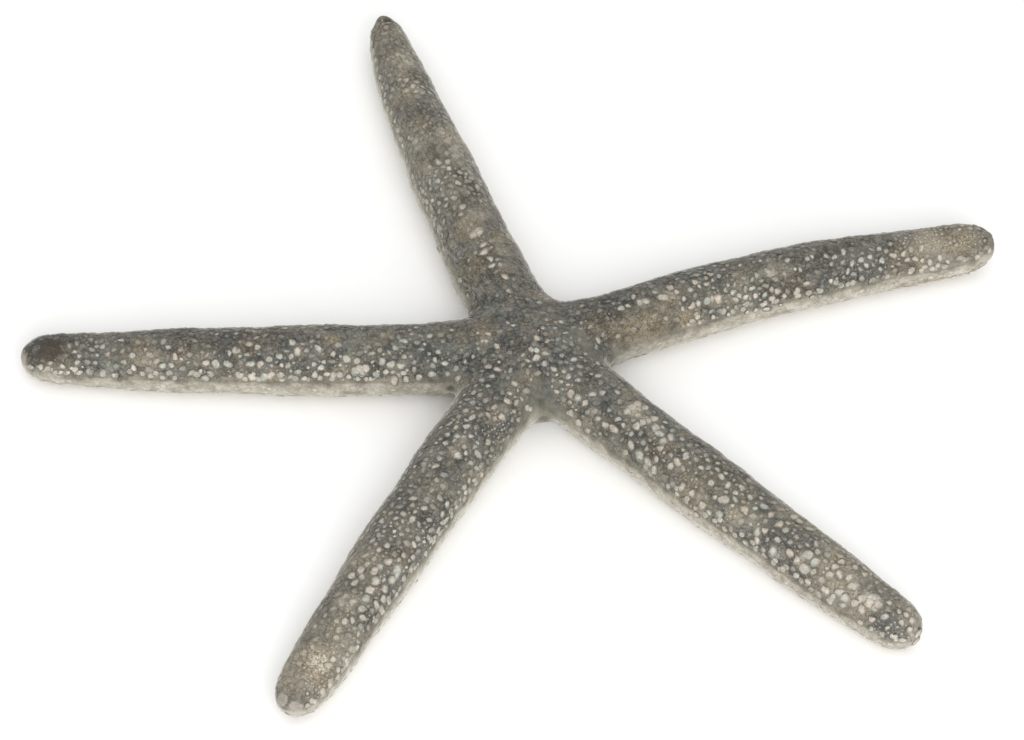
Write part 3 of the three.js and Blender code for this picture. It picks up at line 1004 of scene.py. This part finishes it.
def make_plate_finish(name, cool, warm, cover, film=None):
    made, tree, shader, place = start_material(name, 0.8)
    ground = use(tree, GROUND, Vector=place, Brown=attribute(tree, "brown"),
                 Slate=attribute(tree, "slate"), Light=attribute(tree, "light"))
    tone = mix(tree, attribute(tree, "tone"), cool, warm)
    cloud = tones(tree, place, 1500.0, 3.5, (0.66, 0.65, 0.62, 1), (1.06, 1.06, 1.06, 1))
    tone = mix(tree, 1.0, tone, cloud, "MULTIPLY")
    tone = mix(tree, attribute(tree, "pale"), ground["Colour"], tone)
    edge = times(tree, rise(tree, attribute(tree, "rim"), EDGE_START, 1.0), EDGE_FILM)
    filmed = stain(tree, place, 1000.0, calc(tree, "ADD", edge, cover), 0.48)
    tone = mix(tree, filmed, tone, film or ground["Colour"])
    stands = put(tree, "ShaderNodeAttribute", {"attribute_name": "outward"}).outputs["Vector"]
    # Painted rim light on the plates' outlines.
    colour_with_painted_rim_light(tree, shader, tone, stands)
    add_bump(tree, shader, ground["Height"], 0.0001, 0.6)
    return made


back_finish = make_plate_finish("back_plates", colour(180, 181, 172), colour(198, 186, 173), 0.27)
flank_finish = make_plate_finish(
    "flank_plates", colour(176, 174, 164), colour(190, 184, 172), 0.2, colour(160, 155, 142),
)
print("plate finishes made")

# %% [markdown]
# ## Plates of the back
#
# The plates of the back are crowded but hardly touch, in no strict order. They are thrown like
# darts: a random place is kept only if no earlier plate is too near. Large plates go first and
# small ones fill the gaps. How crowded and how pale they are changes along each arm, as on this
# star: five numbers from the disc to the tip for each arm. Their paleness is also shifted between
# each arm's near and far side, as painted light: paler near, darker far.

# %% Back plate points
ROOM_CELL = 3.2
PLATE_SIZES = [(0.68, 2200, 0.35), (0.56, 4200, 0.22), (0.44, 6000, 0.18), (0.3, 5200, 0.14)]
PLATE_HEIGHT = 0.15

# Sides: painted light, paler plates on each arm's near side and darker on its far side.
ARM_LOOKS = {
    name: dict(crowd=crowd, pale=pale, sides=sides)
    for name, crowd, pale, sides in (
        ("right", (0.2, 0.4, 0.8, 0.75, 0.5), (0.1, 0.2, 0.38, 0.3, 0.28), (0.0, 0.1)),
        ("back", (0.15, 0.25, 0.5, 0.55, 0.45), (0.15, 0.2, 0.25, 0.2, 0.15), (0.0, 0.0)),
        ("left", (0.3, 0.6, 0.8, 0.75, 0.4), (0.15, 0.35, 0.4, 0.3, 0.1), (0.25, -0.3)),
        ("front_left", (0.35, 0.8, 1.0, 0.9, 0.5), (0.25, 0.55, 0.65, 0.5, 0.25), (0.1, -0.2)),
        ("front_right", (0.35, 0.8, 0.9, 0.9, 0.8), (0.25, 0.4, 0.42, 0.45, 0.4), (-0.15, 0.1)),
    )
}
SMALL_PALE_LOSS = 0.25
SMALL_RADIUS = 0.5
BACK_ANGLES = (18, 162)
PALE_SPREAD = 0.22
LEAST_PALE = 0.1
GAP_SHARE = (-0.2, 1.6)
LARGE_RADIUS = 0.52
SKIP_MASK = 0.6
NEAR_CELLS = [(x, y, z) for x in (-1, 0, 1) for y in (-1, 0, 1) for z in (-1, 0, 1)]


def has_room(taken, place, radius, gap):
    """True if no earlier plate is too near. Only those in neighbouring cells are compared."""
    cell = [math.floor(value / ROOM_CELL) for value in place]
    for shift in NEAR_CELLS:
        key = (cell[0] + shift[0], cell[1] + shift[1], cell[2] + shift[2])
        for other, other_radius in taken.get(key, ()):
            if (place - other).length < radius + other_radius + gap:
                return False
    return True


def take_room(taken, place, radius):
    key = tuple(math.floor(value / ROOM_CELL) for value in place)
    taken.setdefault(key, []).append((place, radius))


def any_heading(chance):
    return Vector((chance.uniform(-1, 1), chance.uniform(-1, 1), 0))


def make_spot(place, normal, heading, radii, **numbers):
    """One plate. A plate that is nearly as dark as the skin also stands less proud."""
    where = np.array([place]) / MM
    radii = (*radii[:2], radii[2] * (0.5 + 0.5 * numbers["pale"]))
    number, length_along, _, _ = on_arms(where)
    ground_light = in_steps(LIGHT_GROUND[NAMES[number[0]]], length_along[0] / lengths[number[0]])
    return dict(
        place=place, outward=normal, lengthwise=heading, radii=Vector(radii) * MM,
        brown=float(mask_of("brown", where)[0]), slate=float(mask_of("slate", where)[0]),
        light=float(ground_light + marked_light(where)[0]), **numbers,
    )


def throw_back_plates(taken):
    chance = random.Random(SEED)
    found = []
    for size, tries, gap in PLATE_SIZES:
        for number, (name, arm) in enumerate(ARMS.items()):
            looks = ARM_LOOKS[name]
            for _ in range(tries):
                along_arm = chance.uniform(0, arm["length"] - 2.5)
                angle = chance.uniform(*BACK_ANGLES)
                radius = size * chance.uniform(0.82, 1.1)
                share = along_arm / arm["length"]
                crowd = noise.noise(Vector((along_arm / 8, angle / 35, 7 * number)))
                region = noise.noise(Vector((along_arm / 16, angle / 60, 5 + 3 * number)))
                if chance.random() > in_steps(looks["crowd"], share) + 0.9 * crowd:
                    continue
                place, normal = skin_at(arm, along_arm, angle)
                if place is None:
                    continue
                if not has_room(taken, place / MM, radius, chance.uniform(*GAP_SHARE) * gap):
                    continue
                if mask_of("smooth", np.array([place]) / MM)[0] > SKIP_MASK:
                    continue
                take_room(taken, place / MM, radius)
                # Painted light: plates on the near side of the arm paler, on the far side darker.
                side = looks["sides"][0] if angle < 90 else looks["sides"][1]
                pale = in_steps(looks["pale"], share) + side * abs(math.cos(math.radians(angle)))
                pale -= SMALL_PALE_LOSS * (size < SMALL_RADIUS)
                pale = pale + 0.4 * crowd + 0.6 * region + chance.gauss(0, PALE_SPREAD)
                heading = axes_of(arm)[0] + any_heading(chance)
                radii = (radius * chance.uniform(0.95, 1.6), radius, PLATE_HEIGHT)
                found.append(make_spot(
                    place, normal, heading, radii,
                    tone=chance.random() ** 1.6, pale=min(1, max(LEAST_PALE, pale)),
                ))
    return found


SEEN_PLATES = {
    "disc": [
        537, 339, 9, 547, 341, 7, 531, 349, 8, 536, 350, 8, 537, 358, 9, 545, 353, 6, 545, 364, 8,
        498, 370, 8, 499, 362, 5, 492, 377, 6, 478, 333, 5, 482, 341, 5, 488, 334, 6, 486, 342, 6,
        497, 346, 7, 514, 325, 6, 543, 328, 6, 561, 322, 6, 562, 356, 7, 574, 360, 8,
    ],
    "front_right": [
        564, 372, 6, 568, 377, 7, 578, 380, 7, 598, 376, 7, 592, 394, 7, 602, 393, 8, 618, 393, 7,
        571, 393, 9, 578, 397, 10, 585, 403, 10, 570, 413, 12, 579, 422, 10, 588, 431, 9,
        598, 419, 9, 606, 425, 10, 615, 430, 11, 612, 427, 7, 628, 411, 10, 632, 407, 11,
        637, 404, 9, 645, 408, 7, 637, 426, 9, 642, 423, 9, 648, 421, 8, 654, 419, 9, 631, 445, 11,
        640, 455, 14, 648, 462, 13, 654, 470, 10, 655, 428, 11, 659, 433, 12, 663, 441, 12,
        660, 448, 8, 671, 437, 11, 686, 456, 11, 677, 462, 10, 671, 466, 8, 682, 487, 10,
        692, 493, 11, 711, 483, 9, 724, 500, 12, 720, 514, 13, 745, 510, 12, 763, 506, 10,
        771, 515, 9, 779, 524, 12, 758, 525, 6, 757, 532, 7, 757, 540, 6, 757, 547, 6,
        773, 551, 13, 786, 530, 8, 765, 531, 8, 790, 553, 11, 807, 555, 12, 805, 568, 14,
        815, 562, 13, 794, 517, 9, 799, 521, 9, 873, 598, 11, 878, 604, 12, 869, 603, 10,
        822, 580, 8, 830, 575, 9, 840, 575, 8, 825, 590, 9, 833, 596, 7, 840, 592, 9, 845, 598, 10,
        855, 603, 10, 862, 599, 9, 862, 610, 9, 870, 597, 9, 877, 600, 10, 875, 608, 9,
        885, 617, 8, 872, 620, 8, 810, 555, 7, 797, 560, 8, 777, 540, 8, 790, 543, 7, 850, 577, 8,
        852, 586, 9, 835, 567, 8, 842, 562, 7, 855, 567, 7, 865, 575, 7, 889, 603, 7, 887, 628, 6,
        895, 637, 7, 902, 622, 6, 909, 630, 7, 903, 640, 7, 918, 634, 9, 916, 641, 8, 912, 621, 8,
        906, 615, 6, 702, 505, 8, 697, 515, 7, 709, 512, 8, 735, 500, 7, 750, 497, 8, 742, 488, 7,
        728, 485, 7, 715, 497, 7,
    ],
    "left": [
        206, 363, 8, 216, 364, 8, 228, 364, 11, 236, 351, 9, 229, 353, 7, 240, 356, 5, 249, 344, 8,
        257, 347, 8, 250, 364, 10, 260, 364, 10, 269, 359, 8, 279, 356, 7, 291, 357, 6,
        292, 343, 8, 298, 352, 9, 315, 375, 11, 327, 374, 8, 339, 374, 11, 347, 359, 8,
        357, 361, 8, 282, 375, 9, 265, 376, 12, 270, 375, 13, 355, 371, 12, 361, 370, 14,
        366, 368, 11, 239, 375, 8, 252, 377, 10, 205, 378, 9, 382, 362, 12, 391, 365, 11,
        400, 366, 7, 394, 381, 12, 406, 379, 11, 419, 377, 8, 432, 374, 8, 430, 336, 7,
        451, 330, 6, 134, 368, 7, 132, 355, 9,
    ],
    "front_left": [
        507, 401, 12, 510, 393, 7, 487, 386, 7, 514, 384, 8, 466, 411, 7, 502, 417, 9, 446, 443, 8,
        487, 442, 9, 458, 455, 9, 478, 454, 8, 352, 576, 11, 361, 570, 9, 362, 577, 8, 355, 583, 9,
        375, 571, 12, 375, 581, 11, 370, 590, 12, 385, 589, 9, 383, 599, 10, 376, 605, 9,
        366, 599, 13, 362, 609, 10, 362, 618, 10, 353, 602, 9, 397, 571, 14, 388, 562, 12,
        380, 567, 9, 392, 580, 12, 329, 666, 9, 333, 660, 9,
    ],
    "right": [
        640, 303, 11, 645, 301, 11, 621, 309, 9, 628, 306, 7, 663, 297, 11, 670, 288, 9,
        692, 306, 8, 698, 303, 8, 718, 299, 9, 707, 301, 8, 712, 299, 7, 735, 300, 6, 755, 296, 6,
        765, 295, 7, 772, 290, 7, 777, 291, 7, 690, 290, 6, 695, 282, 6, 707, 285, 7, 700, 287, 6,
        682, 310, 6, 677, 292, 6, 662, 298, 8, 797, 290, 7, 807, 283, 7, 800, 270, 6, 795, 269, 5,
        812, 257, 6, 807, 259, 6, 826, 256, 7, 835, 257, 7, 843, 252, 7, 852, 263, 7, 861, 260, 8,
        870, 257, 7, 848, 271, 6, 882, 261, 7, 907, 260, 6, 915, 259, 7, 922, 260, 6, 830, 281, 6,
        818, 290, 6, 752, 280, 6, 740, 265, 5, 760, 261, 6, 787, 261, 6, 747, 312, 6, 756, 310, 7,
        767, 309, 8, 781, 305, 6, 812, 297, 6, 820, 296, 5, 634, 297, 6, 655, 292, 6, 725, 290, 6,
        893, 256, 7, 930, 262, 6, 940, 258, 6, 948, 262, 5, 880, 270, 6,
    ],
    "back": [
        478, 232, 14, 473, 235, 11, 484, 252, 11, 505, 277, 9, 492, 266, 7,
    ],
}
SEEN_PALE = (0.8, 1.0)
SEEN_LEAST = 0.55
SEEN_SHARE = 0.35
GRANULE_PATCHES = [
    ((318, 668), 2.6, 1.0), ((327, 655), 2.0, 1.0), ((314, 688), 2.2, 0.6), ((330, 672), 1.6, 1.0),
    ((905, 237), 1.6, 0.9), ((920, 234), 1.8, 0.9), ((935, 235), 1.8, 0.9), ((950, 238), 1.8, 0.8),
    ((964, 240), 1.6, 0.7), ((978, 238), 1.4, 0.4), ((895, 625), 2.4, 0.2), ((905, 632), 2.2, 0.3),
    ((885, 628), 2.0, 0.3), ((690, 478), 2.0, 0.5), ((660, 447), 1.4, 0.8), ((495, 432), 2.2, 0.7),
    ((396, 574), 1.8, 0.6), ((725, 515), 1.4, 0.6),
]
GRANULE_SIZE = (0.24, 0.46)
GRANULES_PER_PATCH = 130
GRANULE_GAP = 0.04
PIXELS_PER_MM = 5.26


def granule_patches(taken):
    """Small warm granules, crowded round a seen place."""
    chance = random.Random(SEED + 3)
    found = []
    for (across, down), reach, tone in GRANULE_PATCHES:
        for _ in range(GRANULES_PER_PATCH):
            turn = chance.uniform(0, 2 * math.pi)
            away = reach * PIXELS_PER_MM * math.sqrt(chance.random())
            place, normal = seen_at((across + away * math.cos(turn), down + away * math.sin(turn)))
            radius = chance.uniform(*GRANULE_SIZE)
            if place is None or not has_room(taken, place / MM, radius, GRANULE_GAP):
                continue
            take_room(taken, place / MM, radius)
            found.append(make_spot(
                place, normal, any_heading(chance), (radius, radius, PLATE_HEIGHT),
                tone=tone, pale=chance.uniform(0.2, 0.8),
            ))
    return found


def seen_plates(taken):
    """The plates that stand out in the photo. They may touch or overlap."""
    chance = random.Random(SEED + 2)
    found = []
    for numbers in SEEN_PLATES.values():
        for pixel, rough_radius in marks_from(numbers):
            place, normal = seen_at(pixel)
            if place is None:
                continue
            radius = min(rough_radius, SEEN_LEAST + SEEN_SHARE * rough_radius)
            take_room(taken, place / MM, radius)
            heading = any_heading(chance)
            radii = (radius * chance.uniform(1, 1.5), radius, PLATE_HEIGHT)
            found.append(make_spot(
                place, normal, heading, radii, tone=chance.random(), pale=chance.uniform(*SEEN_PALE),
            ))
    return found


taken = {}
seen_spots = seen_plates(taken)
granule_spots = granule_patches(taken)
back_spots = seen_spots + granule_spots + throw_back_plates(taken)
large = [spot for spot in back_spots if spot["radii"][1] > LARGE_RADIUS * MM]
small = [spot for spot in back_spots if spot["radii"][1] <= LARGE_RADIUS * MM]
back_plates = set_plates("back_plates", large, back_finish, Unevenness=0.0012,
                         Waves_per_metre=760.0)
small_plates = set_plates("small_plates", small, back_finish, Sides=7, Rings=3, Unevenness=0.0006,
                          Waves_per_metre=1200.0)

# %% [markdown]
# ## Marginal plates
#
# Rows of plates run along each flank. The two low rows make the pale, slightly scalloped band at
# the star's lower edge, and the two looser rows above them the string of bright spots.

# %% Marginal plate points
MARGIN_ROWS = [
    dict(angle=-32, spacing=2.0, radius=0.95, aspect=0.95, height=0.1, skipped=0.0, pale=(0.8, 1)),
    dict(angle=-4, spacing=2.1, radius=0.55, aspect=1.3, height=0.07, skipped=0.3, pale=(0.8, 1)),
    dict(angle=20, spacing=2.3, radius=0.55, aspect=1.2, height=0.12, skipped=0.3, pale=(0.6, 1)),
    dict(angle=27, spacing=2.6, radius=0.6, aspect=1.15, height=0.14, skipped=0.4, pale=(0.5, 1)),
]
MARGIN_START = 12.0
MARGIN_END = 5
HIGH_ROW_LOSS = 0.5
HIGH_ROW_START = 30


def margin_spots():
    chance = random.Random(SEED + 1)
    found = []
    for arm in ARMS.values():
        for row in MARGIN_ROWS:
            for side in (1, -1):
                along_arm = MARGIN_START
                while along_arm < arm["length"] - MARGIN_END:
                    along_arm += row["spacing"] * chance.uniform(0.92, 1.08)
                    bare = HIGH_ROW_LOSS * (row["angle"] > 0) * (along_arm < HIGH_ROW_START)
                    if chance.random() < row["skipped"] + bare:
                        continue
                    angle = row["angle"] + chance.uniform(-2, 2)
                    place, normal = skin_at(arm, along_arm, angle if side > 0 else 180 - angle)
                    radius = row["radius"] * chance.uniform(0.88, 1.08)
                    radii = (radius * row["aspect"], radius, row["height"])
                    found.append(make_spot(
                        place, normal, axes_of(arm)[0], radii,
                        tone=chance.random(), pale=chance.uniform(*row["pale"]),
                    ))
    return found


margin_plates = set_plates("margin_plates", margin_spots(), flank_finish, Unevenness=0.0005)

# %% [markdown]
# ## The underside
#
# The photo doesn't show it, so it follows the kind. A furrow runs under each arm, fenced on each
# side by two dense rows of short blunt spines that in life close over the tube feet. Outside them
# lie rows of small beige plates up to the flank. Where the furrows meet is the mouth, ringed by
# five jaws, each with a fan of spines. The places are found by rays that go straight up from under
# the star.

# %% Furrow spines, belly plates and jaws
UNDER_ROWS = [
    dict(piece="furrow_spines", across=1.75, spacing=0.95, radii=(0.38, 0.34, 0.32)),
    dict(piece="furrow_spines", across=2.5, spacing=1.15, radii=(0.5, 0.36, 0.26)),
    dict(piece="belly_plates", across=3.45, spacing=1.35, radii=(0.62, 0.5, 0.14)),
    dict(piece="belly_plates", across=4.65, spacing=1.5, radii=(0.7, 0.6, 0.14)),
    dict(piece="belly_plates", across=5.8, spacing=1.7, radii=(0.8, 0.62, 0.14)),
]
UNDER_START = 8.5
UNDER_RAY_START = -2
UNDER_RAY_LENGTH = 0.02
CLEAR_OF_FLOOR = 0.02
MOUTH_RIM = 5.3
JAW_SPINES = 7
JAW_SPREAD = 17
JAW_ROWS = [(0, 0.85), (1.5, 0.6), (2.9, 0.55)]
JAW_HALF_WIDTH = 0.33
JAW_HEIGHT = 0.3
UNDER_END = 2.5
LEAST_DOWNWARD = -0.3


def under_skin(where):
    """Place and outward normal of the underside above a point of the floor, in millimetres."""
    start = Vector((where.x, where.y, UNDER_RAY_START)) * MM
    place, normal, _, _ = skin_tree.ray_cast(start, Vector((0, 0, 1)), UNDER_RAY_LENGTH)
    return place, normal


def above_floor(place, height):
    """The place, lifted so that a piece of this height doesn't reach below the floor."""
    return Vector((place.x, place.y, max(place.z, (height + CLEAR_OF_FLOOR) * MM)))


def under_spots():
    chance = random.Random(SEED + 4)
    found = {"furrow_spines": [], "belly_plates": []}
    for arm in ARMS.values():
        forward, to_left = axes_of(arm)
        for row in UNDER_ROWS:
            for side in (1, -1):
                along_arm = UNDER_START + row["across"] * 1.2
                while along_arm < arm["length"] - UNDER_END:
                    along_arm += row["spacing"] * chance.uniform(0.93, 1.07)
                    share = half_width_at(arm, along_arm) / half_width_at(arm, 0.4 * arm["length"])
                    across = side * row["across"] * share + float(bow_at(arm, along_arm))
                    place, normal = under_skin(DISC_MIDDLE + forward * along_arm + to_left * across)
                    if place is None or normal.z > LEAST_DOWNWARD:
                        continue
                    radii = [radius * chance.uniform(0.9, 1.1) for radius in row["radii"]]
                    found[row["piece"]].append(make_spot(
                        above_floor(place, radii[2]), normal, forward, radii,
                        tone=chance.random(), pale=chance.uniform(0.7, 1),
                    ))
    return found


def jaw_spots():
    """Spines that point at the middle of the mouth, in five fans between the furrows."""
    chance = random.Random(SEED + 5)
    headings = sorted(arm["heading"] for arm in ARMS.values())
    found = []
    for first, second in zip(headings, headings[1:] + [headings[0] + 360]):
        for number in range(JAW_SPINES):
            share = 2 * number / (JAW_SPINES - 1) - 1
            turn = math.radians((first + second) / 2 + JAW_SPREAD * share)
            away = Vector((math.cos(turn), math.sin(turn), 0))
            for further, length in JAW_ROWS:
                reach = MOUTH_RIM + further + chance.uniform(-0.15, 0.15)
                place, normal = under_skin(DISC_MIDDLE + away * reach)
                if place is None:
                    continue
                place = above_floor(place, JAW_HEIGHT)
                radii = (length, JAW_HALF_WIDTH, JAW_HEIGHT)
                found.append(make_spot(place, normal, away, radii, tone=chance.random(), pale=0.9))
    return found


under = under_spots()
under_finish = make_plate_finish(
    "under_plates", colour(196, 188, 168), colour(214, 202, 178), 0.2, colour(140, 120, 92),
)
belly_plates = set_plates("belly_plates", under["belly_plates"], under_finish, Sides=7,
                          Unevenness=0.0003)
furrow_spines = set_plates("furrow_spines", under["furrow_spines"] + jaw_spots(), under_finish,
                           Sides=6, Unevenness=0.0002)

# %% [markdown]
# ## The sieve plate
#
# A starfish has one round, grooved plate on the back of its disc, through which it draws sea
# water. The photo shows one round olive plate with a dark rim, between the middle and the back arm,
# and the sieve plate is put there. It is a low dome whose grooves run out from the middle and fork
# towards the rim, so its height follows a wave that turns faster outside.

# %% Sieve plate
SIEVE_PIXEL = (528, 320)
SIEVE_RADIUS = 1.0
SIEVE_HEIGHT = 0.3
SIEVE_SIDES = 72
SIEVE_RINGS = (0.25, 0.45, 0.62, 0.76, 0.88, 0.96, 1.0)
GROOVES = 12
GROOVE_DEPTH = 0.07


def make_sieve_plate():
    place, normal = seen_at(SIEVE_PIXEL)
    turn = normal.to_track_quat("Z", "Y").to_matrix()
    corners = [Vector((0, 0, SIEVE_HEIGHT))]
    for ring in SIEVE_RINGS:
        for number in range(SIEVE_SIDES):
            angle = 2 * math.pi * number / SIEVE_SIDES
            grooves = GROOVES if ring < 0.6 else 2 * GROOVES
            wave = 0.5 - 0.5 * math.cos(grooves * angle)
            up = SIEVE_HEIGHT * (1 - ring ** 5) - GROOVE_DEPTH * wave * smooth(ring, 0.1, 0.3)
            reach = ring * SIEVE_RADIUS
            corners.append(Vector((reach * math.cos(angle), reach * math.sin(angle), up)))
    corners.append(Vector((0, 0, -SIEVE_HEIGHT)))
    faces = []
    for number in range(SIEVE_SIDES):
        after = (number + 1) % SIEVE_SIDES
        faces.append((0, 1 + number, 1 + after))
        for ring in range(len(SIEVE_RINGS) - 1):
            inner, outer = 1 + ring * SIEVE_SIDES, 1 + (ring + 1) * SIEVE_SIDES
            faces.append((inner + number, outer + number, outer + after, inner + after))
        outer = 1 + (len(SIEVE_RINGS) - 1) * SIEVE_SIDES
        faces.append((outer + number, len(corners) - 1, outer + after))
    mesh = bpy.data.meshes.new("sieve_plate")
    mesh.from_pydata([place + turn @ corner * MM for corner in corners], [], faces)
    mesh.polygons.foreach_set("use_smooth", [True] * len(mesh.polygons))
    rims = [0.0] + [ring for ring in SIEVE_RINGS for _ in range(SIEVE_SIDES)] + [1.0]
    add_attribute(mesh, "rim", rims)
    add_attribute(mesh, "pale", [1.0] * len(rims))
    stands = mesh.attributes.new("outward", "FLOAT_VECTOR", "POINT")
    stands.data.foreach_set("vector", np.tile(np.array(normal, np.float32), len(rims)))
    return add_object("sieve_plate", mesh)


SIEVE_TONE = colour(112, 110, 94)
sieve_plate = make_sieve_plate()
sieve_finish = make_plate_finish("sieve_plate", SIEVE_TONE, SIEVE_TONE, 0.1, colour(58, 57, 50))
sieve_plate.data.materials.append(sieve_finish)
print("sieve plate", len(sieve_plate.data.polygons), "faces")

# %% [markdown]
# ## Pieces on the body
#
# Each piece rides on the star's one body, and the skin stands for the plain solid, which is then
# hidden.

# %% Ride and replace
PIECES = [skin, back_plates, small_plates, margin_plates, belly_plates, furrow_spines, sieve_plate]
for piece in PIECES:
    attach(piece, "root")
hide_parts("starfish")
